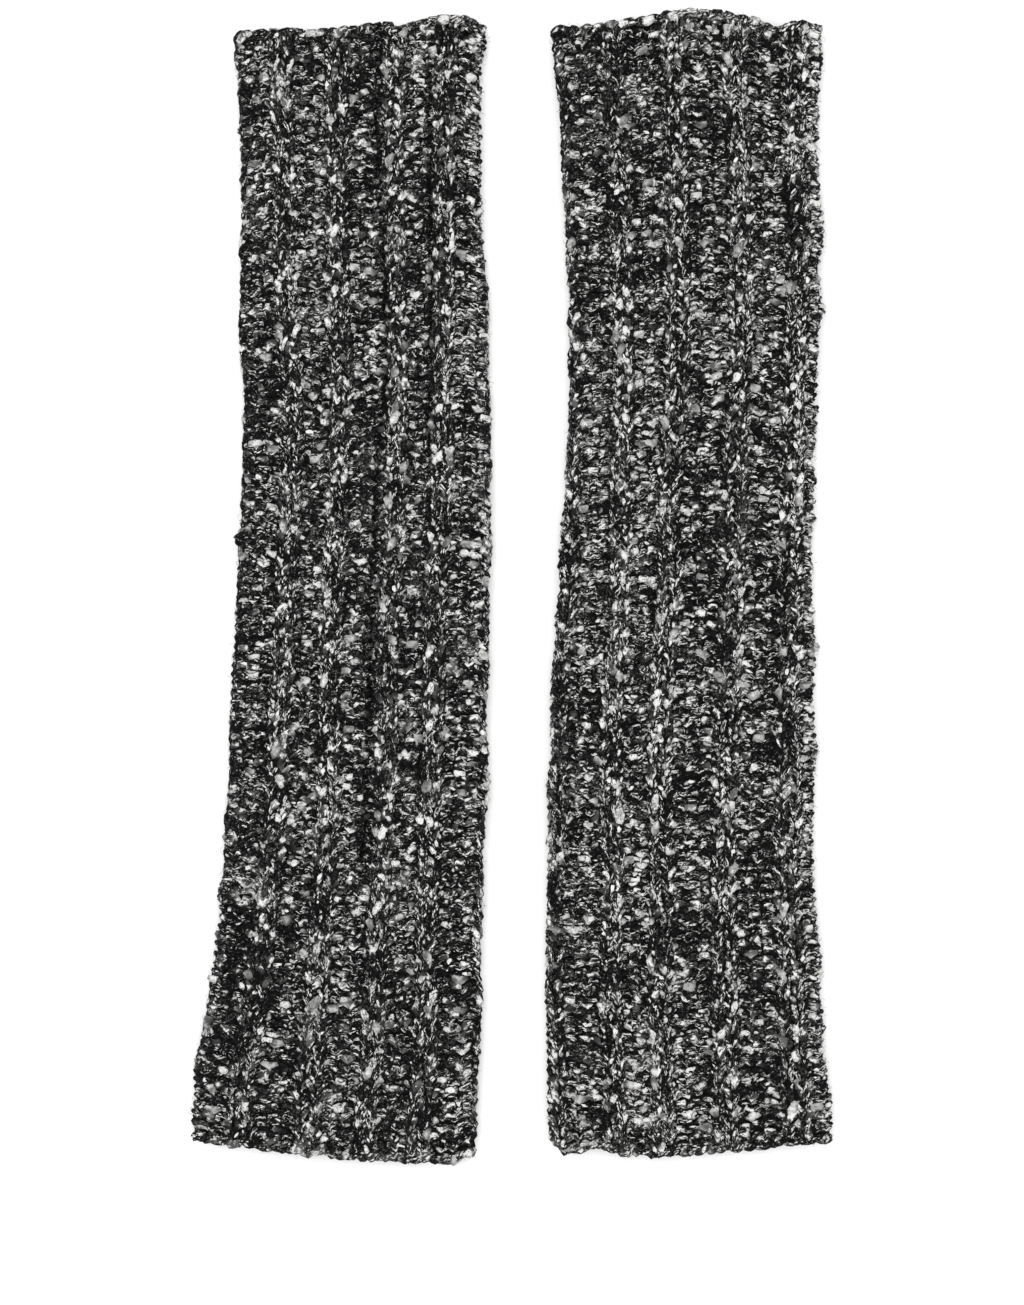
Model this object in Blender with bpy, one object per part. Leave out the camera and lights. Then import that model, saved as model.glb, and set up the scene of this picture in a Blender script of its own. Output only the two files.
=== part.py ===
"""Pair of long ribbed wrist warmers, laid flat side by side.

Each warmer is one knitted tube, open at both ends. Its front and back layers lie on
each other and are joined by a soft fold down each side. The knit is a thick wide rib:
knit columns stand over a purl ground and run the whole length. Both ends are plain
edges that follow the wave of the ribs, and the lower end is wider than the upper one.

Frame: metres, +X to the right, +Y towards the upper (narrow) ends, +Z up. The origin
is at the middle of the pair, on the surface that it lies on.
"""

from math import cos, pi, sin

import bmesh
import bpy

MM = 0.001

# ---- the knitted wall -------------------------------------------------------------
WALL = 4.0 * MM            # one layer of the chunky rib
LAYER_GAP = 0.6 * MM       # air between the front and the back layer
RIB_HEIGHT = 1.6 * MM      # a knit column over the purl ground beside it
RIB_CREST = 5.0 * MM       # flat top of a knit column
RIB_SLOPE = 1.8 * MM       # each side of a knit column, from ground to crest

GROUND = LAYER_GAP / 2 + WALL          # middle of the tube to its purl ground
MIDDLE = GROUND + RIB_HEIGHT           # height of the middle: lower crests are at 0

# ---- how finely the shape is divided ----------------------------------------------
LENGTH_STEPS = 19          # spans from the lower end to the upper one
FOLD_STEPS = 6             # segments round each side fold

# ---- the two warmers, in millimetres ----------------------------------------------
# sections: the side edges at a few heights
# ends: how far the lower and the upper edge reach at a share of the width, from the
#     left side fold (0) to the right one (1)
# ribs: the middle of each knit column, as a share of the width, at a few shares of the
#     length, from the lower end (0) to the upper one (1)
WARMERS = {
    "left_warmer": {
        "sections": [
            # height, left, right
            (-205.0, -118.4, -13.4),
            (-180.0, -117.6, -12.8),
            (-153.0, -113.2, -10.4),
            (-131.0, -109.5, -11.2),
            (-97.0, -106.9, -10.2),
            (-64.0, -105.1, -8.7),
            (-31.0, -104.0, -8.7),
            (3.0, -102.1, -7.8),
            (36.0, -100.6, -7.4),
            (69.0, -99.7, -7.5),
            (102.0, -101.6, -8.6),
            (136.0, -100.4, -11.0),
            (169.0, -101.0, -11.6),
            (191.0, -102.4, -10.6),
            (205.0, -102.6, -9.4),
        ],
        "ends": [
            # share, lower, upper
            (0.00, -203.5, 203.0),
            (0.10, -205.2, 205.6),
            (0.20, -208.6, 207.2),
            (0.38, -210.0, 206.2),
            (0.52, -211.3, 208.8),
            (0.68, -212.2, 208.4),
            (0.80, -212.6, 210.4),
            (0.92, -213.1, 211.3),
            (1.00, -208.8, 206.2),
        ],
        "ribs": [
            # share, first, second, third, fourth column
            (0.0, 0.165, 0.402, 0.603, 0.792),
            (0.5, 0.212, 0.376, 0.615, 0.775),
            (1.0, 0.180, 0.420, 0.650, 0.860),
        ],
    },
    "right_warmer": {
        "sections": [
            # height, left, right
            (-205.0, 13.7, 118.4),
            (-175.0, 12.4, 116.9),
            (-153.0, 12.6, 115.2),
            (-131.0, 12.2, 114.2),
            (-97.0, 13.2, 112.0),
            (-64.0, 13.2, 112.3),
            (-31.0, 14.6, 112.0),
            (3.0, 17.2, 111.8),
            (36.0, 19.2, 112.0),
            (69.0, 20.6, 113.4),
            (102.0, 21.4, 114.9),
            (136.0, 19.0, 114.7),
            (169.0, 17.4, 113.2),
            (191.0, 15.8, 114.0),
            (205.0, 13.4, 114.6),
        ],
        "ends": [
            # share, lower, upper
            (0.00, -204.6, 206.0),
            (0.06, -210.0, 206.8),
            (0.18, -208.4, 208.2),
            (0.35, -210.9, 210.2),
            (0.45, -210.2, 213.1),
            (0.60, -208.9, 212.7),
            (0.72, -207.8, 211.8),
            (0.83, -206.8, 208.0),
            (0.94, -205.6, 210.4),
            (1.00, -204.6, 207.6),
        ],
        "ribs": [
            # share, first, second, third, fourth column
            (0.0, 0.246, 0.402, 0.630, 0.875),
            (0.5, 0.238, 0.416, 0.680, 0.905),
            (1.0, 0.200, 0.444, 0.682, 0.893),
        ],
    },
}

# ---- finish -----------------------------------------------------------------------
YARN_COLOUR = (0.095, 0.094, 0.091, 1.0)     # black and ecru marl, seen from afar
YARN_ROUGHNESS = 0.95
COLLECTION_NAME = "wrist_warmers"


def clear_scene():
    for item in list(bpy.data.objects):
        bpy.data.objects.remove(item, do_unlink=True)


def read_table(rows, place, column):
    """The column's value at a place in the table's first column, between its rows."""
    if place <= rows[0][0]:
        return rows[0][column]
    for below, above in zip(rows, rows[1:]):
        if place <= above[0]:
            share = (place - below[0]) / (above[0] - below[0])
            return below[column] + share * (above[column] - below[column])
    return rows[-1][column]


def ring_profile(width, ribs, inset):
    """One closed ring across the tube, as (distance from the left edge, height).

    The front layer comes first, from left to right, then the right fold, the back
    layer and the left fold. The inset moves the ring inwards, for the inner face.
    """
    ground = GROUND - inset
    crest = ground + RIB_HEIGHT
    half_rib = RIB_CREST / 2 + RIB_SLOPE
    face = [(GROUND, ground)]
    for middle in ribs:
        face.append((middle - half_rib, ground))
        face.append((middle - RIB_CREST / 2, crest))
        face.append((middle + RIB_CREST / 2, crest))
        face.append((middle + half_rib, ground))
    face.append((width - GROUND, ground))

    right_fold = []
    left_fold = []
    for step in range(1, FOLD_STEPS):
        turn = pi * step / FOLD_STEPS
        right_fold.append((width - GROUND + ground * sin(turn), ground * cos(turn)))
        left_fold.append((GROUND - ground * sin(turn), -ground * cos(turn)))
    back = [(across, -height) for across, height in reversed(face)]
    return face + right_fold + back + left_fold


def ring_at(warmer, share_up, inset):
    """The ring at a share of the warmer's length, as points in the part's frame."""
    sections, ends, ribs = warmer["sections"], warmer["ends"], warmer["ribs"]
    middle_height = (1 - share_up) * ends[0][1] + share_up * ends[0][2]
    left = read_table(sections, middle_height, 1) * MM
    width = read_table(sections, middle_height, 2) * MM - left
    columns = range(1, len(ribs[0]))
    middles = [width * read_table(ribs, share_up, column) for column in columns]
    points = []
    for across, height in ring_profile(width, middles, inset):
        share_across = across / width
        lower = read_table(ends, share_across, 1)
        upper = read_table(ends, share_across, 2)
        along = (lower + share_up * (upper - lower)) * MM
        points.append((left + across, along, MIDDLE + height))
    return points


def knit_tube(warmer):
    """A mesh of the tube's wall: an outer and an inner skin, closed at both ends."""
    mesh = bmesh.new()
    skins = []
    for inset in (0.0, WALL):
        rings = []
        for step in range(LENGTH_STEPS + 1):
            points = ring_at(warmer, step / LENGTH_STEPS, inset)
            rings.append([mesh.verts.new(point) for point in points])
        skins.append(rings)
    outer, inner = skins
    for rings in skins:
        for low_ring, high_ring in zip(rings, rings[1:]):
            join_rings(mesh, low_ring, high_ring)
    join_rings(mesh, outer[0], inner[0])
    join_rings(mesh, outer[-1], inner[-1])
    bmesh.ops.recalc_face_normals(mesh, faces=mesh.faces)
    return mesh


def join_rings(mesh, first, second):
    count = len(first)
    for place in range(count):
        after = (place + 1) % count
        mesh.faces.new((first[place], first[after], second[after], second[place]))


def yarn_material(name):
    material = bpy.data.materials.new(name)
    material.use_nodes = True
    shader = material.node_tree.nodes["Principled BSDF"]
    shader.inputs["Base Color"].default_value = YARN_COLOUR
    shader.inputs["Roughness"].default_value = YARN_ROUGHNESS
    shader.inputs["Metallic"].default_value = 0.0
    material.diffuse_color = YARN_COLOUR
    return material


def make_warmer(name, warmer, collection):
    mesh = knit_tube(warmer)
    data = bpy.data.meshes.new(name)
    mesh.to_mesh(data)
    mesh.free()
    data.materials.append(yarn_material(name + "_yarn"))
    data.shade_smooth()
    data.set_sharp_from_angle(angle=pi / 4)
    collection.objects.link(bpy.data.objects.new(name, data))


def main():
    clear_scene()
    collection = bpy.data.collections.new(COLLECTION_NAME)
    bpy.context.scene.collection.children.link(collection)
    for name, warmer in WARMERS.items():
        make_warmer(name, warmer, collection)


main()
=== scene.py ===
"""Looks of a pair of long wrist warmers, knitted in chunky black and ecru slub yarn.

Each warmer is a thin dark cloth in the shape of its solid, and on it every stitch of
the wide rib is real yarn: one closed tube of yarn for each course, which goes round the
front and the back layer. The yarn is thick and thin. Its attributes say how much of it
is ecru and how finely black and ecru are mixed at each place, so that the material
follows the same slubs.
"""

from math import pi, tau

import bpy
import numpy as np
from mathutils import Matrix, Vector


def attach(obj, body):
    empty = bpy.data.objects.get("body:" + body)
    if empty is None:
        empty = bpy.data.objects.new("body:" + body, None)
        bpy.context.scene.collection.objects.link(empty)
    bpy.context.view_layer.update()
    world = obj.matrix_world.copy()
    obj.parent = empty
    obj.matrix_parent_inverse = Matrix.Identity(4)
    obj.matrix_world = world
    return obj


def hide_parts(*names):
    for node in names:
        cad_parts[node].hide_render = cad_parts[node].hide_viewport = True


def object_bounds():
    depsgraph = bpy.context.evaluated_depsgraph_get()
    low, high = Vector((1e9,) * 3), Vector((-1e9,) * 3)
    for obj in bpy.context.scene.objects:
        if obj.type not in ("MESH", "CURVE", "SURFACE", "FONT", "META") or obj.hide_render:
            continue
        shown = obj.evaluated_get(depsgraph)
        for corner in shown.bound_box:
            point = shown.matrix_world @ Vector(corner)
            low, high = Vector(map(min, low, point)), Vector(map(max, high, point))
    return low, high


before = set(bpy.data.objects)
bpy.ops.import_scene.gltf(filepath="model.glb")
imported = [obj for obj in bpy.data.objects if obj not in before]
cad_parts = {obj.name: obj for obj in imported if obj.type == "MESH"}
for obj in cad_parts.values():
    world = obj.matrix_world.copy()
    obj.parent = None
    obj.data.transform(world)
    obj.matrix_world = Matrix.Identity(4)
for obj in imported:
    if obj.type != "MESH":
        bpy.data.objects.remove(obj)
cad_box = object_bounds()

MM = 0.001

# ---- gauge of the rib -------------------------------------------------------------
RIBS_ROUND = 9             # knit columns round a warmer, four of them on top
STITCHES_PER_RIB = 5       # two knit and three purl
STITCHES_ROUND = RIBS_ROUND * STITCHES_PER_RIB
COURSES = 117
BANDS = ("lower", "middle", "upper")     # each warmer's yarn is three pieces

# ---- one stitch -------------------------------------------------------------------
YARN_RADIUS = 1.06 * MM
LOOP_HALF_HEIGHT = 2.95 * MM
LOOP_LEAN = 0.31           # how far the legs lean, as a share of the stitch's width
LOOP_DEPTH = 1.0 * MM      # legs stand this far before the cloth's middle, heads behind
RIB_RELIEF = 1.0 * MM      # knit columns stand out this far, purl ones lie as deep
RIB_STEEPNESS = 2.9        # of the step between a knit column and the purl beside it
REACH = LOOP_DEPTH + YARN_RADIUS         # of the yarn out of the cloth's middle
PLY_BULGE = 0.16           # how far the ecru ply swells, as a share of the radius
YARN_LUMPS = 0.07          # how far a point strays, as a share of the radius
YARN_SIDES = 6
FRONT_SAMPLES = 9          # points along the yarn in a stitch of the upper layer
BACK_SAMPLES = 4           # the same in the layer that lies on the floor
FOLD_SHOWN = 0.06          # share of the back layer, at each fold, that counts as upper

# how much loops differ in height and lean, as a share of either
LOOP_VARIES = 0.12
LEAN_VARIES = 0.25
# how far they are out of place
STITCH_SHIFT = 0.09        # round the tube, in stitches
STITCH_LIFT = 0.24 * MM    # out of the cloth
STITCH_SLIP = 0.28 * MM    # along the tube

# ---- the chain along an open end --------------------------------------------------
EDGE_STRAND_RADIUS = 1.30 * MM
EDGE_STRAND_OFFSET = 0.9 * MM
EDGE_SAMPLES = 6
EDGE_TURNS = 22            # one for about two stitches: each strand is on top in turn
EDGE_KNOTS = 80            # places round the tube where the chain's unevenness is drawn
EDGE_BOB = 0.4 * MM        # how far the chain strays along the tube
# the cloth's middle ends this far inside the solid's ends, to leave the chain its room
END_INSET = EDGE_STRAND_OFFSET + EDGE_STRAND_RADIUS - 0.2 * MM

# ---- reading the solid ------------------------------------------------------------
OUTLINE_ROWS = 60          # heights, and places across, at which it is read
CORNER = 9 * MM            # the side edges are read this far in from the ends
END_SHARES = (0.012, 0.988)              # the ends are read between these shares across
CREST_DEPTH = 0.1 * MM     # a column's crest is what lies this near the solid's top
CREST_GAP = 6 * MM         # two columns' crests are further apart than this

# ---- the cloth --------------------------------------------------------------------
CLOTH_ROWS = 40
CLOTH_STEP = 0.5           # between two columns of the cloth's mesh, in stitches
CLOTH_INSET = 0.004        # share of the length that the cloth leaves free at each end
CLOTH_HALF_WALL = 0.5 * MM
FLOOR_CLEARANCE = 0.02 * MM              # no point is nearer the floor than this
END_CALM = 20 * MM         # the heave dies away this near an end

# ---- grooves, light and dark areas ------------------------------------------------
GROOVE_FADE = 5.0          # mm past its ends in which a groove dies away
GROOVE_SHADE = 0.65 / MM   # painted shade: the yarn is made this much less ecru, so darker, for each mm of a groove's depth
FOLD_REACH = 4.2 * MM      # how far in the tone of a side fold goes
SHADE_STRETCH = 3.0        # a light or dark area is this much longer than wide

# ---- what sets one warmer apart from the other ------------------------------------
# tone: how much more ecru there is in the whole warmer
# fold_painted_shading: painted light and shade near the left and the right side fold, added
# like tone; below 0 it is painted shade
# shades: share of the width, height mm, reach across mm, how much more ecru there is
# grooves: depth mm, half width mm, then the places they run through: height mm and
#     share of the width
# pushes: share of the width, height mm, reach mm, how far it goes across and up mm
DETAILS = {
    "left": {
        "seed": 11,
        "tone": -0.17,
        "fold_painted_shading": (-0.35, 0.55),
        "shades": [
            (0.45, 185.0, 14.0, -0.2),
            (0.90, 92.0, 4.0, 0.7),
            (0.40, -88.0, 4.0, 0.7),
            (0.13, -145.0, 5.0, -1.0),
            (0.41, -150.0, 4.0, 0.9),
            (0.82, -178.0, 4.0, -0.7),
        ],
        "grooves": [
            (3.2, 1.1, [(196, 0.585), (173, 0.573), (117, 0.598), (80, 0.590),
                        (43, 0.542), (-31, 0.542), (-104, 0.536)]),
            (2.2, 1.0, [(190, 0.799), (143, 0.802), (106, 0.786), (32, 0.752)]),
            (1.2, 0.9, [(20, 0.752), (-50, 0.756), (-80, 0.747)]),
        ],
        "pushes": [
            (0.04, 203.0, 5.0, -0.8, 2.0),
            (0.00, 196.0, 5.0, -1.4, 0.0),
            (0.42, 208.0, 3.0, 0.0, -1.4),
            (0.66, 208.0, 3.0, 0.0, -1.6),
            (0.93, 207.0, 3.4, 0.0, 1.2),
            (0.98, 200.0, 7.0, 1.9, 0.6),
            (0.97, 209.0, 3.0, 1.0, 1.0),
            (1.00, 183.0, 2.4, 1.2, 0.0),
            (0.00, 17.6, 1.6, -2.6, 0.0),
            (0.00, -113.0, 5.0, -1.0, 0.0),
            (1.00, 158.0, 20.0, 0.8, 0.0),
            (1.00, 107.0, 12.0, 1.0, 0.0),
            (0.00, -178.0, 10.0, -0.8, 0.0),
            (0.00, -199.0, 7.0, -2.2, 0.0),
            (0.01, -206.0, 4.5, -2.8, -2.6),
            (0.17, -206.0, 3.6, 0.0, 1.2),
            (0.40, -211.0, 5.0, 0.0, 1.2),
            (0.79, -212.0, 3.0, 0.0, 1.0),
            (1.00, -200.0, 2.5, 0.6, 0.0),
            (0.93, -211.0, 6.0, 0.0, -2.2),
            (1.00, -207.0, 3.0, -1.2, 0.0),
        ],
    },
    "right": {
        "seed": 23,
        "tone": 0.01,
        "fold_painted_shading": (-0.30, 0.65),
        "shades": [
            (0.20, 168.0, 13.0, -0.5),
            (0.54, 168.0, 8.0, -0.5),
            (0.45, -45.0, 6.0, 0.5),
            (0.52, -92.0, 5.0, 0.5),
            (0.25, -116.0, 4.5, 0.8),
            (0.77, -144.0, 4.0, -1.0),
            (0.81, -173.0, 5.0, -0.6),
            (0.44, -190.0, 5.0, 0.9),
        ],
        "grooves": [
            (3.6, 1.0, [(148, 0.882), (140, 0.888), (129, 0.892)]),
            (1.5, 0.8, [(54, 0.890), (10, 0.906), (-27, 0.903)]),
            (1.2, 0.8, [(44, 0.642), (-20, 0.655)]),
        ],
        "pushes": [
            (0.03, 205.0, 4.0, 0.0, 1.4),
            (0.83, 209.0, 5.0, 0.0, -1.6),
            (1.00, 193.0, 12.0, 1.6, 0.0),
            (1.00, 133.0, 11.0, 1.4, 0.0),
            (1.00, 118.0, 2.4, -1.6, 0.0),
            (1.00, 102.0, 2.6, 2.0, 0.0),
            (1.00, 40.0, 1.5, 2.2, 0.0),
            (1.00, 31.4, 1.3, 1.8, 0.0),
            (1.00, 25.2, 1.4, 1.8, 0.0),
            (0.00, 8.0, 2.6, -1.0, 0.0),
            (0.05, -208.0, 4.5, -1.3, -1.4),
            (0.00, -73.0, 5.0, -1.2, 0.0),
            (0.18, -208.0, 4.0, 0.0, 0.6),
            (0.31, -210.0, 6.0, 0.0, 1.2),
            (1.00, -22.0, 9.0, 1.3, 0.0),
            (1.00, -60.0, 8.0, 1.2, 0.0),
            (1.00, -137.0, 9.0, 0.9, 0.0),
            (1.00, -192.0, 12.0, 1.3, 0.0),
            (0.98, -204.0, 5.0, 0.6, -1.0),
        ],
    },
}


# ---- reading the frame ------------------------------------------------------------
def crossings(points, pairs, axis, place):
    """Where the mesh's edges cross axis = place."""
    first, second = points[pairs[:, 0]], points[pairs[:, 1]]
    crossing = (first[:, axis] - place) * (second[:, axis] - place) <= 0
    crossing &= first[:, axis] != second[:, axis]
    first, second = first[crossing], second[crossing]
    share = (place - first[:, axis]) / (second[:, axis] - first[:, axis])
    return first + share[:, None] * (second - first)


def column_middles(hits):
    """The middle of each knit column of the upper layer, from a slice across it."""
    across = np.sort(hits[hits[:, 2] > hits[:, 2].max() - CREST_DEPTH, 0])
    breaks = np.nonzero(np.diff(across) > CREST_GAP)[0] + 1
    return [(column[0] + column[-1]) / 2 for column in np.split(across, breaks)]


def read_outline(node):
    """The tube's edges and knit columns, read from its solid.

    The edges are those of the cloth's middle, which lies inside the solid's outline: the
    side ones at evenly spaced heights, the lower and upper ones at evenly spaced shares
    of the width. Anchors are the places of all knit columns round the tube, at the same
    heights: those of the upper layer come from the solid, and the rest share the way
    round the folds and the back evenly.
    """
    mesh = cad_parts[node].data
    points = np.zeros(len(mesh.vertices) * 3)
    mesh.vertices.foreach_get("co", points)
    points = points.reshape(-1, 3)
    pairs = np.zeros(len(mesh.edges) * 2, int)
    mesh.edges.foreach_get("vertices", pairs)
    pairs = pairs.reshape(-1, 2)
    middle = points[:, 2].max() / 2
    radius = middle - REACH - RIB_RELIEF

    lowest, highest = points[:, 1].min() + CORNER, points[:, 1].max() - CORNER
    heights = np.linspace(lowest, highest, OUTLINE_ROWS)
    slices = [crossings(points, pairs, 1, height) for height in heights]
    solid_left = np.array([hits[:, 0].min() for hits in slices])
    solid_right = np.array([hits[:, 0].max() for hits in slices])
    left, right = solid_left + REACH, solid_right - REACH
    width = right - left

    columns = np.array([column_middles(hits) for hits in slices])
    turn = radius * (pi / 2 - 1)
    shown = (columns - left[:, None] + turn) / (width + 2 * turn)[:, None]
    hidden_count = RIBS_ROUND - shown.shape[1]
    step = (2 + shown[:, :1] - shown[:, -1:]) / (hidden_count + 1)
    hidden = shown[:, -1:] + step * np.arange(1, hidden_count + 1)

    shares = np.linspace(*END_SHARES, OUTLINE_ROWS)
    ends = []
    for row, pick in ((0, np.min), (-1, np.max)):
        across = solid_left[row] + shares * (solid_right[row] - solid_left[row])
        reach = [pick(crossings(points, pairs, 0, place)[:, 1]) for place in across]
        ends.append(np.array(reach))
    lower, upper = ends[0] + END_INSET, ends[1] - END_INSET
    return {
        "middle": middle,
        "radius": radius,
        "heights": heights,
        "left": left,
        "width": width,
        "anchors": np.hstack([shown, hidden, shown[:, :1] + 2]),
        "shares": shares,
        "lower": lower,
        "upper": upper,
        "length": upper.mean() - lower.mean(),
    }


# ---- the cloth's middle surface ---------------------------------------------------
def span(outline, height):
    """The left edge and the width of the cloth's middle at a height."""
    heights = outline["heights"]
    left = np.interp(height, heights, outline["left"])
    return left, np.interp(height, heights, outline["width"])


def ring_place(outline, stitch, share_up):
    """Where round the tube a stitch lies: 0 to 1 on top, 1 to 2 underneath."""
    anchors = outline["anchors"]
    row = np.clip(share_up, 0, 1) * (len(anchors) - 1)
    low = np.minimum(row.astype(int), len(anchors) - 2)
    row_share = row - low
    lap, stitch = np.divmod(stitch, STITCHES_ROUND)
    rib = np.minimum((stitch // STITCHES_PER_RIB).astype(int), RIBS_ROUND - 1)
    part = stitch / STITCHES_PER_RIB - rib
    ends = [
        anchors[low, column] * (1 - row_share) + anchors[low + 1, column] * row_share
        for column in (rib, rib + 1)
    ]
    return ends[0] * (1 - part) + ends[1] * part + 2 * lap


def surface(outline, place, share_up):
    """Points of the cloth's middle, and the directions that point out of it.

    The section is two flat layers with half rounds at the sides.
    """
    radius = outline["radius"]
    heights = outline["heights"]
    left, width = span(outline, heights[0] + share_up * (heights[-1] - heights[0]))
    layer = width - 2 * radius + pi * radius
    place = np.mod(place, 2)
    under = place >= 1
    along = np.where(under, 2 - place, place) * layer
    left_turn = np.clip(along / radius, 0, pi / 2)
    right_turn = np.clip((layer - along) / radius, 0, pi / 2)
    level = np.clip(along - pi * radius / 2, 0, width - 2 * radius)
    across = radius * (1 - np.cos(left_turn) + np.cos(right_turn)) + level
    up = np.where(left_turn < right_turn, np.sin(left_turn), np.sin(right_turn))
    side = np.where(left_turn < right_turn, -np.cos(left_turn), np.cos(right_turn))
    flip = np.where(under, -1.0, 1.0)
    lower = np.interp(across / width, outline["shares"], outline["lower"])
    upper = np.interp(across / width, outline["shares"], outline["upper"])
    y = lower + share_up * (upper - lower)
    z = outline["middle"] + flip * radius * up
    points = np.stack([left + across, y, z], axis=-1)
    out = np.stack([side, np.zeros_like(side), flip * up], axis=-1)
    return points, out


# ---- unevenness -------------------------------------------------------------------
def ease(share):
    return share * share * (3 - 2 * share)


def wander(rng, coordinate, knots, size):
    """A smooth random value for each course by itself, with knots round the tube."""
    values = rng.normal(0, size, (coordinate.shape[0], knots))
    position = np.mod(coordinate / STITCHES_ROUND * knots, knots)
    first = np.floor(position).astype(int) % knots
    share = ease(position - np.floor(position))
    rows = np.arange(coordinate.shape[0])[:, None]
    return values[rows, first] * (1 - share) + values[rows, (first + 1) % knots] * share


def drift(rng, round_it, along_it, size):
    """A smooth random function of the place in the cloth, with knots both ways."""
    knots = rng.normal(0, size, (along_it + 1, round_it))

    def value(place, share_up):
        column = np.mod(place / 2, 1) * round_it
        first = np.floor(column).astype(int) % round_it
        second = (first + 1) % round_it
        row = np.clip(share_up, 0, 1) * along_it
        low = np.minimum(row.astype(int), along_it - 1)
        sideways = ease(column - np.floor(column))
        upward = ease(row - low)
        below = knots[low, first] * (1 - sideways) + knots[low, second] * sideways
        above = knots[low + 1, first] * (1 - sideways) + knots[low + 1, second] * sideways
        return below * (1 - upward) + above * upward

    return value


def make_tube(side):
    """One warmer's outline, its details and the unevenness that its pieces share."""
    outline = read_outline(f"{side}_warmer")
    rng = np.random.default_rng(DETAILS[side]["seed"])
    return {
        **DETAILS[side],
        "side": side,
        "outline": outline,
        "rng": rng,
        "sway": drift(rng, 8, 16, 0.14),            # in stitches
        "heave": drift(rng, 8, 14, 0.9 * MM),
        "bob": drift(rng, 26, 44, 0.45 * MM),
        "swell": drift(rng, 10, 22, 0.25 * MM),
        "bumps": drift(rng, 30, 64, 0.30 * MM),
    }


def rib_wave(stitch):
    """1 over the two stitches of a knit column, -1 over the purl ones beside it."""
    edge = np.cos(tau / STITCHES_PER_RIB)
    wave = np.cos(tau * stitch / STITCHES_PER_RIB) - edge
    return np.clip(RIB_STEEPNESS * wave, -1, 1)


def groove_depth(tube, points, out):
    """How far the upper layer sinks where two columns fold towards each other."""
    x, y = points[..., 0], points[..., 1]
    left, width = span(tube["outline"], y)
    depth = np.zeros_like(x)
    for deepest, half_width, path in tube["grooves"]:
        heights, shares = np.array(sorted(path)).T
        away = x - left - width * np.interp(y / MM, heights, shares)
        past_ends = np.maximum(heights[0] - y / MM, y / MM - heights[-1])
        fade = np.clip(1 - past_ends / GROOVE_FADE, 0, 1)
        depth = depth + deepest * MM * fade * np.exp(-((away / (half_width * MM)) ** 2))
    return depth * np.clip(out[..., 2], 0, 1)


def push(tube, points):
    """Push points across and up, round the places that the tube's details name."""
    moved = points.copy()
    for across, height, reach, sideways, upward in tube["pushes"]:
        y = height * MM
        left, width = span(tube["outline"], y)
        away = np.hypot(points[..., 0] - left - across * width, points[..., 1] - y)
        share = np.exp(-((away / (reach * MM)) ** 2))
        moved[..., 0] += sideways * MM * share
        moved[..., 1] += upward * MM * share
    return moved


def local_tone(tube, points, out):
    """What is added to the ecru share at a place: more or less in areas, painted light and
    shade near the side folds, and painted shade in grooves.
    """
    left, width = span(tube["outline"], points[..., 1])
    from_left = points[..., 0] - left
    tone = np.full_like(from_left, tube["tone"])
    # painted light and shade: the yarn is made darker near the left side fold and lighter
    # near the right one, as the light falls on the folds
    for lighter, away in zip(tube["fold_painted_shading"], (from_left, width - from_left)):
        tone = tone + lighter * np.exp(-((away / FOLD_REACH) ** 2))
    for across, height, reach, lighter in tube["shades"]:
        sideways = (from_left - across * width) / (reach * MM)
        upward = (points[..., 1] - height * MM) / (SHADE_STRETCH * reach * MM)
        tone = tone + lighter * np.exp(-(sideways**2) - upward**2)
    # painted shade: the deeper the groove, the darker the yarn in it
    return tone - GROOVE_SHADE * groove_depth(tube, points, out)


def knit_points(tube, stitch, share_up, rise):
    """Points that stand `rise` out of the ribbed cloth, unevenness and all."""
    outline = tube["outline"]
    ribs = RIB_RELIEF * rib_wave(stitch)
    place = ring_place(outline, stitch, share_up)
    stitch = stitch + tube["sway"](place, share_up)
    from_end = np.minimum(share_up, 1 - share_up) * outline["length"]
    heave = tube["heave"](place, share_up) * np.clip(from_end / END_CALM, 0, 1)
    heave = heave + tube["bob"](place, share_up)
    share_up = share_up + heave / outline["length"]
    place = ring_place(outline, stitch, share_up)
    points, out = surface(outline, place, share_up)
    rise = rise + tube["swell"](place, share_up) + tube["bumps"](place, share_up)
    rise = rise + ribs * np.abs(out[..., 2]) - groove_depth(tube, points, out)
    return push(tube, points + out * rise[..., None]), out


# The yarn is a black ply and an ecru one, twisted together. Its kinds of run say how
# often each comes, how long it is, how much of it is ecru (-1.5 least, 2 most), how long
# one turn of the twist is, how thick the yarn is there, how finely the two are mixed and
# how far they are felted into one soft grey lump.
YARN_RUNS = [
    # often, shortest mm, longest mm, ecru, turn mm, thickness, fine, felt
    (0.38, 5.0, 22.0, -0.55, 8.0, 0.90, 1.0, 0.0),
    (0.26, 5.0, 16.0, 0.05, 11.0, 1.02, 0.0, 0.0),
    (0.21, 2.2, 4.8, 1.95, 11.0, 1.42, 0.05, 0.2),
    (0.025, 2.8, 5.0, 0.60, 11.0, 1.62, 0.0, 1.0),
    (0.17, 3.0, 8.0, -1.50, 9.0, 0.96, 0.5, 0.0),
]
RUN_BLEND = 0.7 * MM       # one run passes into the next this near its ends
KNOT_SPACING = 4 * MM      # in a run, the ecru share is drawn anew about this often


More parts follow.
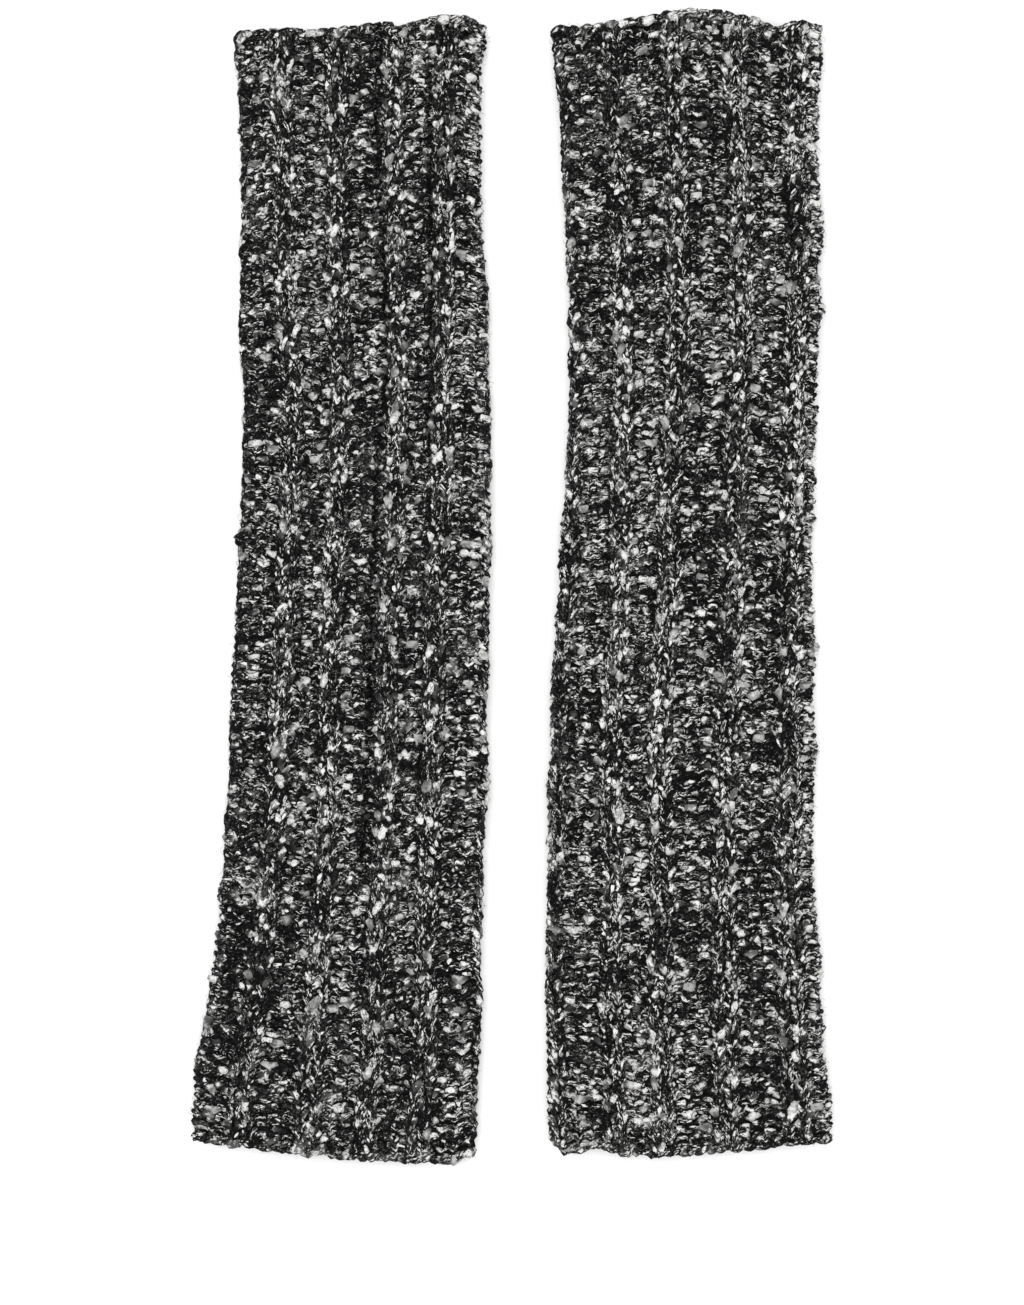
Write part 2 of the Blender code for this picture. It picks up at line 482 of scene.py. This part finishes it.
def slub_profile(rng, total):
    """Knots along the yarn, and what it is like at each.

    A knot's values are ecru share, thickness, how far the twist has turned, how fine
    the mix is and how felted it is.
    """
    chances = np.array([run[0] for run in YARN_RUNS])
    knots, values = [], []
    reached, last, turned = 0.0, -1, 0.0
    while reached < total:
        weights = np.where(np.arange(len(chances)) == last, 0, chances)
        last = rng.choice(len(chances), p=weights / weights.sum())
        _, shortest, longest, ecru, turn, thickness, fine, felt = YARN_RUNS[last]
        length = rng.uniform(shortest, longest) * MM
        turn *= rng.uniform(0.8, 1.25) * MM
        thickness *= rng.uniform(0.9, 1.12)
        count = 2 + int(length / KNOT_SPACING)
        for place in np.linspace(RUN_BLEND, length - RUN_BLEND, count):
            knots.append(reached + place)
            uneven = ecru + rng.normal(0, 0.4)
            values.append((uneven, thickness, turned + tau * place / turn, fine, felt))
        reached += length
        turned += tau * length / turn
    return np.array(knots), np.array(values)


# ---- meshes from yarn paths -------------------------------------------------------
def unit(vectors):
    return vectors / np.maximum(np.linalg.norm(vectors, axis=-1, keepdims=True), 1e-12)


def rings_along(path, tangent, out, radius, sides):
    """Rings of points round paths, shape (paths, points, sides, 3)."""
    across = unit(np.cross(tangent, out))
    normal = np.cross(across, tangent)
    turn = tau * np.arange(sides) / sides
    ring = (
        np.cos(turn)[:, None] * normal[:, :, None, :]
        + np.sin(turn)[:, None] * across[:, :, None, :]
    )
    return path[:, :, None, :] + radius[..., None] * ring


def ring_quads(paths, samples, sides):
    """Four corners of each face between the rings of closed paths."""
    index = np.arange(paths * samples * sides).reshape(paths, samples, sides)
    ahead = np.roll(index, -1, axis=1)
    return np.stack(
        [index, np.roll(index, -1, axis=2), np.roll(ahead, -1, axis=2), ahead], axis=-1
    ).reshape(-1, 4)


def mesh_object(name, points, faces, attributes, material):
    """A smooth mesh from points and faces that all have the same number of corners."""
    points = points.copy()
    points[:, 2] = np.maximum(points[:, 2], FLOOR_CLEARANCE)
    mesh = bpy.data.meshes.new(name)
    mesh.vertices.add(len(points))
    mesh.vertices.foreach_set("co", np.ascontiguousarray(points, np.float32).ravel())
    mesh.loops.add(faces.size)
    mesh.loops.foreach_set("vertex_index", faces.astype(np.int32).ravel())
    mesh.polygons.add(len(faces))
    starts = np.arange(0, faces.size, faces.shape[1], np.int32)
    mesh.polygons.foreach_set("loop_start", starts)
    mesh.update(calc_edges=True)
    mesh.validate()
    for label, values in attributes.items():
        kind = "FLOAT_VECTOR" if values.ndim == 2 else "FLOAT"
        data = mesh.attributes.new(label, kind, "POINT").data
        key = "vector" if values.ndim == 2 else "value"
        data.foreach_set(key, np.ascontiguousarray(values, np.float32).ravel())
    mesh.shade_smooth()
    mesh.materials.append(material)
    piece = bpy.data.objects.new(name, mesh)
    bpy.context.scene.collection.objects.link(piece)
    return piece


def spin_yarn(tube, path, out, thickness, front):
    """Rings and attributes of closed lengths of slub yarn.

    yarn_co is the length along the yarn in mm and the direction round it. ply_turn is how
    far the twist has turned. ecru is the share of the light ply, with the tone of areas,
    painted light and shade near the side folds and painted shade in grooves added. fine says
    how finely the two are mixed, and felt how far they are one soft lump. front is 1 where
    the yarn lies at the front of the cloth and -1 where it lies behind; the material paints
    shade where it lies behind.
    """
    ahead = np.roll(path, -1, axis=1)
    step = np.linalg.norm(ahead - path, axis=-1)
    lengths = step.sum(axis=1)
    starts = np.concatenate([[0], np.cumsum(lengths)[:-1]])
    along = np.cumsum(step, axis=1) - step + starts[:, None]
    knots, values = slub_profile(tube["rng"], lengths.sum())
    ecru, slub, turned, fine, felt = (
        np.interp(along, knots, column)[..., None] for column in values.T
    )
    turned = turned - tau * np.floor(turned[:, :1] / tau)
    sides = tau * np.arange(YARN_SIDES) / YARN_SIDES
    turn = np.broadcast_to(sides, (*along.shape, YARN_SIDES))
    bulge = PLY_BULGE * np.clip(ecru + 1, 0, 1) * np.cos(turn - turned)
    lumps = tube["rng"].uniform(-YARN_LUMPS, YARN_LUMPS, turn.shape)
    radius = thickness * slub * (1 + bulge + lumps)
    tangent = unit(ahead - np.roll(path, 1, axis=1))
    rings = rings_along(path, tangent, out, radius, YARN_SIDES)

    def spread(values):
        return np.broadcast_to(values, turn.shape)

    coordinates = [spread(along[..., None] / MM), np.cos(turn), np.sin(turn)]
    return rings, {
        "yarn_co": np.stack(coordinates, axis=-1),
        "ply_turn": spread(turned),
        # ecru share plus local_tone: areas of more or less ecru, painted light and shade at
        # the side folds, painted shade in grooves
        "ecru": spread(ecru + local_tone(tube, path, out)[..., None]),
        "fine": spread(fine),
        "felt": spread(felt),
        "front": spread(front[..., None]),
    }


def yarn_object(name, rings, attributes, material):
    """A mesh of whole closed lengths of yarn."""
    quads = ring_quads(*rings.shape[:3])
    flat = {
        label: values.reshape(-1, 3) if values.ndim == 4 else values.ravel()
        for label, values in attributes.items()
    }
    return mesh_object(name, rings.reshape(-1, 3), quads, flat, material)


# ---- the stitches -----------------------------------------------------------------
def stitch_samples(outline):
    """Stitch coordinates of the points along one course, closer on the upper layer."""
    samples = []
    for stitch in range(STITCHES_ROUND):
        place = np.mod(ring_place(outline, np.array(stitch + 0.5), np.array(0.5)), 2)
        shown = place < 1 + FOLD_SHOWN or place > 2 - FOLD_SHOWN
        count = FRONT_SAMPLES if shown else BACK_SAMPLES
        samples += [stitch + k / count for k in range(count)]
    return np.array(samples)


def make_stitches(tube, material):
    """The knit yarn: every course is one closed tube that goes round the warmer."""
    rng = tube["rng"]
    stitch = np.tile(stitch_samples(tube["outline"]), (COURSES, 1))
    phase = tau * np.mod(stitch, 1)
    course = np.arange(COURSES)[:, None]

    loop = LOOP_HALF_HEIGHT * (1 + wander(rng, stitch, STITCHES_ROUND, LOOP_VARIES))
    lean = LOOP_LEAN * (1 + wander(rng, stitch, STITCHES_ROUND, LEAN_VARIES))
    shift = wander(rng, stitch, 2 * STITCHES_ROUND, STITCH_SHIFT)
    lift = wander(rng, stitch, 2 * STITCHES_ROUND, STITCH_LIFT)
    slip = wander(rng, stitch, STITCHES_ROUND, STITCH_SLIP)

    stitch_path = stitch + lean * np.sin(2 * phase) + shift
    upward = (slip - loop * np.cos(phase)) / tube["outline"]["length"]
    share_up = (course + 0.5) / COURSES + upward
    front = -rib_wave(stitch) * np.cos(2 * phase)
    path, out = knit_points(tube, stitch_path, share_up, lift + LOOP_DEPTH * front)
    rings, attributes = spin_yarn(tube, path, out, YARN_RADIUS, front)

    pieces = []
    bounds = np.linspace(0, COURSES, len(BANDS) + 1).astype(int)
    for band, first, last in zip(BANDS, bounds, bounds[1:]):
        part = {label: values[first:last] for label, values in attributes.items()}
        name = f"{tube['side']}_yarn_{band}"
        pieces.append(yarn_object(name, rings[first:last], part, material))
    return pieces


def make_edge(tube, end, material):
    """The chain of yarn along one open end: two strands that turn round each other."""
    rng = tube["rng"]
    stitch = np.arange(0, STITCHES_ROUND, 1 / EDGE_SAMPLES)[None, :]
    stitch = np.vstack([stitch, stitch])
    turn = tau * EDGE_TURNS / STITCHES_ROUND * stitch + np.array([[0.0], [pi]])
    turn = turn + wander(rng, stitch, EDGE_KNOTS, 0.5)
    offset = EDGE_STRAND_OFFSET * (1 + wander(rng, stitch, EDGE_KNOTS, 0.3))
    bob = wander(rng, stitch[:1], STITCHES_ROUND, EDGE_BOB)
    share_up = np.full_like(stitch, 0.0 if end == "cast_on" else 1.0)
    path, out = knit_points(tube, stitch, share_up, offset * np.cos(turn))
    path[..., 1] += offset * np.sin(turn) + bob
    # through front, the strand that lies under the other is painted darker, as in shade
    rings, attributes = spin_yarn(tube, path, out, EDGE_STRAND_RADIUS, np.cos(turn))
    return yarn_object(f"{tube['side']}_{end}_edge", rings, attributes, material)


def make_cloth(tube, material):
    """The thin dark ground between the stitches: a closed tube wall."""
    stitch = np.arange(0, STITCHES_ROUND, CLOTH_STEP)
    share_up = np.linspace(CLOTH_INSET, 1 - CLOTH_INSET, CLOTH_ROWS)
    stitch, share_up = np.meshgrid(stitch, share_up)
    outer, _ = knit_points(tube, stitch, share_up, CLOTH_HALF_WALL)
    inner, _ = knit_points(tube, stitch, share_up, -CLOTH_HALF_WALL)
    rings = np.concatenate([outer, inner[::-1]], axis=0)
    quads = ring_quads(1, *rings.shape[:2])
    name = f"{tube['side']}_cloth"
    return mesh_object(name, rings.reshape(-1, 3), quads, {}, material)


# ---- loose fibres -----------------------------------------------------------------
FIBRES = 1900              # on each warmer
FIBRE_RINGS = 3
FIBRE_RADIUS = 0.06 * MM   # near the root
FIBRE_TAPER = 0.6          # radius near the tip, as a share of the root's
FIBRE_RISE = (0.6, 1.8)    # mm that its root stands out of the cloth's middle
FIBRE_LENGTH = (1.5, 4.0)  # mm
FIBRE_CURL = (2.0, 6.0)    # how far it bends from root to tip, in radians
# where fibres are rooted: share of all, then the ranges of place and share of length
FIBRE_ROOTS = [
    (0.60, (0.0, 1.0), (0.0, 1.0)),
    (0.14, (-0.02, 0.02), (0.0, 1.0)),
    (0.14, (0.98, 1.02), (0.0, 1.0)),
    (0.06, (0.0, 1.0), (-0.003, 0.003)),
    (0.06, (0.0, 1.0), (0.997, 1.003)),
]


def fibre_faces():
    """Corners of one fibre's faces. Its points are the root, rings of three, the tip."""
    tip = 1 + 3 * FIBRE_RINGS
    faces = []
    for corner in range(3):
        after = (corner + 1) % 3
        faces.append((0, 1 + after, 1 + corner))
        for ring in range(FIBRE_RINGS - 1):
            here, there = 1 + 3 * ring, 4 + 3 * ring
            faces.append((here + corner, here + after, there + after))
            faces.append((here + corner, there + after, there + corner))
        faces.append((tip - 3 + corner, tip - 3 + after, tip))
    return np.array(faces)


def make_fuzz(tube, material):
    """Loose wool fibres: thin tapered curls that stand off the yarn."""
    rng = tube["rng"]
    place, share_up = [], []
    for share, places, lengths in FIBRE_ROOTS:
        count = round(share * FIBRES)
        place.append(rng.uniform(*places, count))
        share_up.append(rng.uniform(*lengths, count))
    place, share_up = np.concatenate(place), np.concatenate(share_up)
    count = len(place)
    roots, out = surface(tube["outline"], place, share_up)
    roots = push(tube, roots + out * rng.uniform(*FIBRE_RISE, (count, 1)) * MM)
    start = unit(0.35 * out + rng.normal(0, 0.7, (count, 3)))
    bend = unit(np.cross(start, rng.normal(0, 1, (count, 3))))
    curl = rng.uniform(*FIBRE_CURL, (count, 1, 1))
    length = rng.uniform(*FIBRE_LENGTH, (count, 1, 1)) * MM
    step = np.linspace(0, 1, FIBRE_RINGS + 2)[None, :, None]
    path = roots[:, None] + length / curl * (
        start[:, None] * np.sin(curl * step) + bend[:, None] * (1 - np.cos(curl * step))
    )
    tangent = start[:, None] * np.cos(curl * step) + bend[:, None] * np.sin(curl * step)
    side = np.broadcast_to(np.cross(start, bend)[:, None], path.shape)
    inner = slice(1, -1)
    radius = FIBRE_RADIUS * np.linspace(1.0, FIBRE_TAPER, FIBRE_RINGS)[None, :, None]
    radius = radius * rng.uniform(0.7, 1.3, (count, 1, 1))
    rings = rings_along(path[:, inner], tangent[:, inner], side[:, inner], radius, 3)

    points = np.concatenate([path[:, :1], rings.reshape(count, -1, 3), path[:, -1:]], axis=1)
    per_fibre = points.shape[1]
    faces = fibre_faces() + per_fibre * np.arange(count)[:, None, None]
    shade = np.repeat(rng.uniform(0, 1, count), per_fibre)
    name = f"{tube['side']}_fuzz"
    return mesh_object(
        name, points.reshape(-1, 3), faces.reshape(-1, 3), {"fibre_shade": shade}, material
    )


# ---- materials --------------------------------------------------------------------
def new_material(name):
    material = bpy.data.materials.new(name)
    material.use_nodes = True
    return material, material.node_tree, material.node_tree.nodes["Principled BSDF"]


def feed(tree, socket, value):
    """Link the value to the socket, or set it there if it is a constant."""
    if isinstance(value, bpy.types.NodeSocket):
        tree.links.new(value, socket)
    else:
        socket.default_value = value


def math_node(tree, operation, *values, clamp=False):
    node = tree.nodes.new("ShaderNodeMath")
    node.operation = operation
    node.use_clamp = clamp
    for socket, value in zip(node.inputs, values):
        feed(tree, socket, value)
    return node.outputs[0]


def attribute_node(tree, name):
    node = tree.nodes.new("ShaderNodeAttribute")
    node.attribute_name = name
    return node


def weighted_sum(tree, base, *terms, clamp=False):
    """The base plus each term's value times its weight."""
    last = len(terms) - 1
    for index, (value, weight) in enumerate(terms):
        end = clamp and index == last
        base = math_node(tree, "MULTIPLY_ADD", value, weight, base, clamp=end)
    return base


def stretched(tree, vector, stretch):
    mapping = tree.nodes.new("ShaderNodeMapping")
    mapping.inputs["Scale"].default_value = stretch
    tree.links.new(vector, mapping.inputs["Vector"])
    return mapping.outputs["Vector"]


def scaled_noise(tree, vector, stretch, scale, detail, roughness=0.5):
    noise = tree.nodes.new("ShaderNodeTexNoise")
    noise.inputs["Scale"].default_value = scale
    noise.inputs["Detail"].default_value = detail
    noise.inputs["Roughness"].default_value = roughness
    tree.links.new(stretched(tree, vector, stretch), noise.inputs["Vector"])
    return noise.outputs["Fac"]


def grain_cells(tree, vector, stretch):
    """Cells like tufts: two random values of a cell, and how far its middle is."""
    cells = tree.nodes.new("ShaderNodeTexVoronoi")
    cells.inputs["Scale"].default_value = 1.0
    tree.links.new(stretched(tree, vector, stretch), cells.inputs["Vector"])
    split = tree.nodes.new("ShaderNodeSeparateColor")
    tree.links.new(cells.outputs["Color"], split.inputs[0])
    return split.outputs[0], split.outputs[1], cells.outputs["Distance"]


def mix_colours(tree, share, first, second):
    node = tree.nodes.new("ShaderNodeMix")
    node.data_type = "RGBA"
    for place, value in ((0, share), (6, first), (7, second)):
        feed(tree, node.inputs[place], value)
    return node.outputs[2]


def add_bump(tree, shader, height, strength, distance):
    bump = tree.nodes.new("ShaderNodeBump")
    bump.inputs["Strength"].default_value = strength
    bump.inputs["Distance"].default_value = distance
    tree.links.new(height, bump.inputs["Height"])
    tree.links.new(bump.outputs["Normal"], shader.inputs["Normal"])


BLACK_DEEP = (0.001, 0.001, 0.001, 1)
BLACK_WORN = (0.0105, 0.0105, 0.0105, 1)
# ECRU_SHADE and ECRU_LIGHT: the ecru's tone runs between them, partly at random and partly
# as painted light, lighter in a tuft's middle and in painted shade at its edges. ECRU_LIGHT
# is also the colour of the loose ecru fibres.
ECRU_SHADE = (0.146, 0.145, 0.141, 1)
ECRU_LIGHT = (0.775, 0.770, 0.753, 1)
VEIL = (0.103, 0.102, 0.100, 1)
FELT_DARK = (0.137, 0.136, 0.133, 1)
FELT_LIGHT = (0.688, 0.684, 0.671, 1)


def yarn_sockets(tree):
    """What the material knows about a point of the yarn."""
    place = attribute_node(tree, "yarn_co").outputs["Vector"]
    yarn = {
        name: attribute_node(tree, name).outputs["Fac"]
        for name in ("ply_turn", "ecru", "fine", "felt", "front")
    }
    split = tree.nodes.new("ShaderNodeSeparateXYZ")
    tree.links.new(place, split.inputs[0])
    outward, sideways = split.outputs["Y"], split.outputs["Z"]

    # how squarely a point faces the middle of the ecru ply: cos(turn - ply_turn)
    cosine = math_node(tree, "COSINE", yarn["ply_turn"])
    sine = math_node(tree, "SINE", yarn["ply_turn"])
    facing = math_node(tree, "MULTIPLY", outward, cosine)
    facing = math_node(tree, "MULTIPLY_ADD", sideways, sine, facing)

    local = tree.nodes.new("ShaderNodeTexCoord").outputs["Object"]
    tuft, tuft_tone, tuft_apart = grain_cells(tree, place, (0.55, 0.75, 0.75))
    return {
        **yarn,
        "place": place,
        "local": local,
        "outward": outward,
        "facing": facing,
        "tuft": tuft,
        "tuft_tone": tuft_tone,
        "tuft_apart": tuft_apart,
        "fibres": scaled_noise(tree, place, (0.5, 3.0, 3.0), 1.6, 2.0),
        "patches": scaled_noise(tree, local, (1, 1, 1), 75.0, 2.0),
    }


def ecru_light(tree, yarn):
    """How far ecru comes through: it shows above 0, and is lighter the more there is.

    It comes in tufts where the mix is coarse and in specks where it is fine. There is more
    of it in some patches of the cloth. It is lightest on the outward side of the yarn and
    fades into painted shade towards its sides, between the strands.
    """
    speck, _, speck_apart = grain_cells(tree, yarn["place"], (1.0, 2.4, 2.4))
    tufts = weighted_sum(
        tree,
        -1.05,
        (yarn["tuft"], 3.6),
        (yarn["tuft_apart"], -2.2),
        (yarn["facing"], 0.7),
        (speck, 1.0),
    )
    specks = weighted_sum(tree, -1.58, (speck, 5.8), (speck_apart, -1.6))
    coarse = math_node(tree, "SUBTRACT", 1.0, yarn["fine"])
    light = math_node(tree, "MULTIPLY", tufts, coarse)
    light = math_node(tree, "MULTIPLY_ADD", specks, yarn["fine"], light)
    light = math_node(tree, "ADD", light, yarn["ecru"])
    # painted shade: less ecru towards the sides and underside of the yarn, where it lies
    # between the strands, and most on its outward side
    light = math_node(tree, "ADD", light, yarn["outward"])
    light = math_node(tree, "MULTIPLY_ADD", yarn["patches"], 2.3, light)
    return math_node(tree, "SUBTRACT", light, 2.87)


def plies_colour(tree, yarn):
    """Black and ecru wool. The ecru is dimmed by painted shade where the yarn lies behind,
    and a tuft is painted lighter in its middle than at its edges.
    """
    light = ecru_light(tree, yarn)
    cover = math_node(tree, "MULTIPLY_ADD", light, 2.0, 0.1, clamp=True)
    # painted shade: where the yarn lies behind, its ecru is dimmed to 0.4 of its cover
    painted_depth_shade = math_node(tree, "MULTIPLY_ADD", yarn["front"], 0.8, 0.55, clamp=True)
    painted_depth_shade = math_node(tree, "MULTIPLY_ADD", painted_depth_shade, 0.6, 0.4)
    cover = math_node(tree, "MULTIPLY", cover, painted_depth_shade)

    # partly painted light: the more ecru comes through, the lighter it is, so a tuft is lit
    # in its middle and shaded at its edges
    body = math_node(tree, "MULTIPLY", light, 0.75, clamp=True)
    grains = scaled_noise(tree, yarn["place"], (0.28, 0.6, 0.6), 1.0, 1.0)
    shade = math_node(tree, "ADD", body, grains)
    shade = weighted_sum(tree, shade, (yarn["fibres"], 1.4), (yarn["tuft_tone"], 1.3))
    shade = math_node(tree, "SUBTRACT", shade, 1.8, clamp=True)
    ecru = mix_colours(tree, shade, ECRU_SHADE, ECRU_LIGHT)
    black = mix_colours(tree, yarn["fibres"], BLACK_DEEP, BLACK_WORN)
    return mix_colours(tree, cover, black, ecru)


def felted(tree, yarn, colour):
    """The colour, and one soft grey on felted lumps."""
    soft = scaled_noise(tree, yarn["place"], (0.3, 0.5, 0.5), 1.0, 2.0)
    soft = math_node(tree, "MULTIPLY_ADD", soft, 3.0, -1.0, clamp=True)
    grey = mix_colours(tree, soft, FELT_DARK, FELT_LIGHT)
    return mix_colours(tree, math_node(tree, "MULTIPLY", yarn["felt"], 0.85), colour, grey)


def veiled(tree, yarn, colour):
    """The colour under crumbs and a veil of loose fibres, which lie on all of it."""
    crumb, _, crumb_apart = grain_cells(tree, yarn["local"], (1700.0, 1700.0, 1700.0))
    crumbs = weighted_sum(tree, -3.3, (crumb, 5.0), (crumb_apart, -2.0), clamp=True)
    strands = scaled_noise(tree, yarn["local"], (1, 1, 1), 1100.0, 2.0, 0.6)
    veil = weighted_sum(tree, -2.42, (strands, 3.0), (yarn["patches"], 1.6), clamp=True)
    return mix_colours(tree, veil, mix_colours(tree, crumbs, colour, VEIL), VEIL)


def yarn_material():
    """Black and ecru slub yarn, which follows the attributes that spin_yarn gives."""
    material, tree, shader = new_material("slub_yarn")
    yarn = yarn_sockets(tree)
    colour = veiled(tree, yarn, felted(tree, yarn, plies_colour(tree, yarn)))
    tree.links.new(colour, shader.inputs["Base Color"])
    shader.inputs["Roughness"].default_value = 0.9
    shader.inputs["Specular IOR Level"].default_value = 0.05

    # in relief: the groove between the plies, single fibres and a ragged surface
    ragged = scaled_noise(tree, yarn["place"], (0.8, 1.5, 1.5), 1.1, 2.0, 0.6)
    groove = math_node(tree, "ABSOLUTE", yarn["facing"])
    height = weighted_sum(tree, 0.0, (yarn["fibres"], 0.5), (groove, 0.8), (ragged, 0.8))
    add_bump(tree, shader, height, 0.9, 0.7 * MM)
    material.diffuse_color = (0.1, 0.1, 0.1, 1)
    return material


def ground_material():
    """The dark cloth between the stitches."""
    material, tree, shader = new_material("knit_ground")
    place = tree.nodes.new("ShaderNodeTexCoord").outputs["Object"]
    flecks = scaled_noise(tree, place, (1, 1, 1), 900.0, 2.0)
    share = math_node(tree, "MULTIPLY_ADD", flecks, 3.0, -1.2, clamp=True)
    colour = mix_colours(tree, share, BLACK_DEEP, BLACK_WORN)
    tree.links.new(colour, shader.inputs["Base Color"])
    shader.inputs["Roughness"].default_value = 0.95
    shader.inputs["Specular IOR Level"].default_value = 0.1
    add_bump(tree, shader, flecks, 0.6, 0.5 * MM)
    return material


def fibre_material():
    """Loose fibres: each one is black, grey or ecru."""
    material, tree, shader = new_material("loose_wool")
    shade = attribute_node(tree, "fibre_shade").outputs["Fac"]
    share = math_node(tree, "MULTIPLY", shade, shade)
    colour = mix_colours(tree, share, BLACK_WORN, ECRU_LIGHT)
    tree.links.new(colour, shader.inputs["Base Color"])
    shader.inputs["Roughness"].default_value = 0.8
    shader.inputs["Specular IOR Level"].default_value = 0.2
    return material


# ---- stage ------------------------------------------------------------------------
VIEW_HEIGHT = 0.4829       # what the picture shows from top to bottom
VIEW_MIDDLE = (0.0, -0.0242)             # what it shows in its middle
LENS = 100.0
SENSOR = 36.0
FLOOR_SIZE = 6.0
FLOOR_COLOUR = (0.97, 0.97, 0.97, 1)
WORLD_STRENGTH = 1.08
LIGHTS = [
    # name, place, size, power
    ("key", (-0.35, 0.25, 1.85), 1.3, 12.9),
    ("fill", (0.4, -0.3, 1.8), 1.5, 4.7),
]


def make_stage():
    """The pale floor that the pair lies on."""
    bpy.ops.mesh.primitive_plane_add(size=FLOOR_SIZE, location=(0, 0, 0))
    floor = bpy.context.object
    floor.name = "floor"
    material, _, shader = new_material("pale_floor")
    shader.inputs["Base Color"].default_value = FLOOR_COLOUR
    shader.inputs["Roughness"].default_value = 0.9
    shader.inputs["Specular IOR Level"].default_value = 0.1
    floor.data.materials.append(material)


def area_light(name, place, size, power):
    """A square light that is aimed at the origin."""
    data = bpy.data.lights.new(name, "AREA")
    data.shape = "SQUARE"
    data.size = size
    data.energy = power
    light = bpy.data.objects.new(name, data)
    light.location = place
    light.rotation_euler = (-Vector(place)).to_track_quat("-Z", "Y").to_euler()
    bpy.context.scene.collection.objects.link(light)


def make_lights():
    """An even white surround, and two large soft lights over the pair."""
    world = bpy.data.worlds.new("studio")
    bpy.context.scene.world = world
    world.use_nodes = True
    background = world.node_tree.nodes["Background"]
    background.inputs["Color"].default_value = (1, 1, 1, 1)
    background.inputs["Strength"].default_value = WORLD_STRENGTH
    for light in LIGHTS:
        area_light(*light)


def make_camera(level):
    """A camera that looks straight down, and shows VIEW_HEIGHT at the level."""
    data = bpy.data.cameras.new("camera")
    data.sensor_fit = "VERTICAL"
    data.sensor_height = SENSOR
    data.lens = LENS
    data.clip_end = 20.0
    camera = bpy.data.objects.new("camera", data)
    camera.location = (*VIEW_MIDDLE, VIEW_HEIGHT * LENS / SENSOR + level)
    bpy.context.scene.collection.objects.link(camera)
    bpy.context.scene.camera = camera


# ---- putting it together ----------------------------------------------------------
def make_warmer(side, yarn, ground, wool):
    """One warmer's pieces. The cloth takes the solid's place, and the rest go with it."""
    tube = make_tube(side)
    cloth = make_cloth(tube, ground)
    on_it = make_stitches(tube, yarn)
    on_it += [make_edge(tube, end, yarn) for end in ("cast_on", "bind_off")]
    on_it.append(make_fuzz(tube, wool))
    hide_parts(f"{side}_warmer")
    for piece in [cloth, *on_it]:
        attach(piece, "root")


def main():
    bpy.context.scene.view_settings.view_transform = "Standard"
    yarn = yarn_material()
    ground = ground_material()
    wool = fibre_material()
    make_stage()
    make_lights()
    make_camera(cad_box[1][2] / 2)
    for side in ("left", "right"):
        make_warmer(side, yarn, ground, wool)


main()
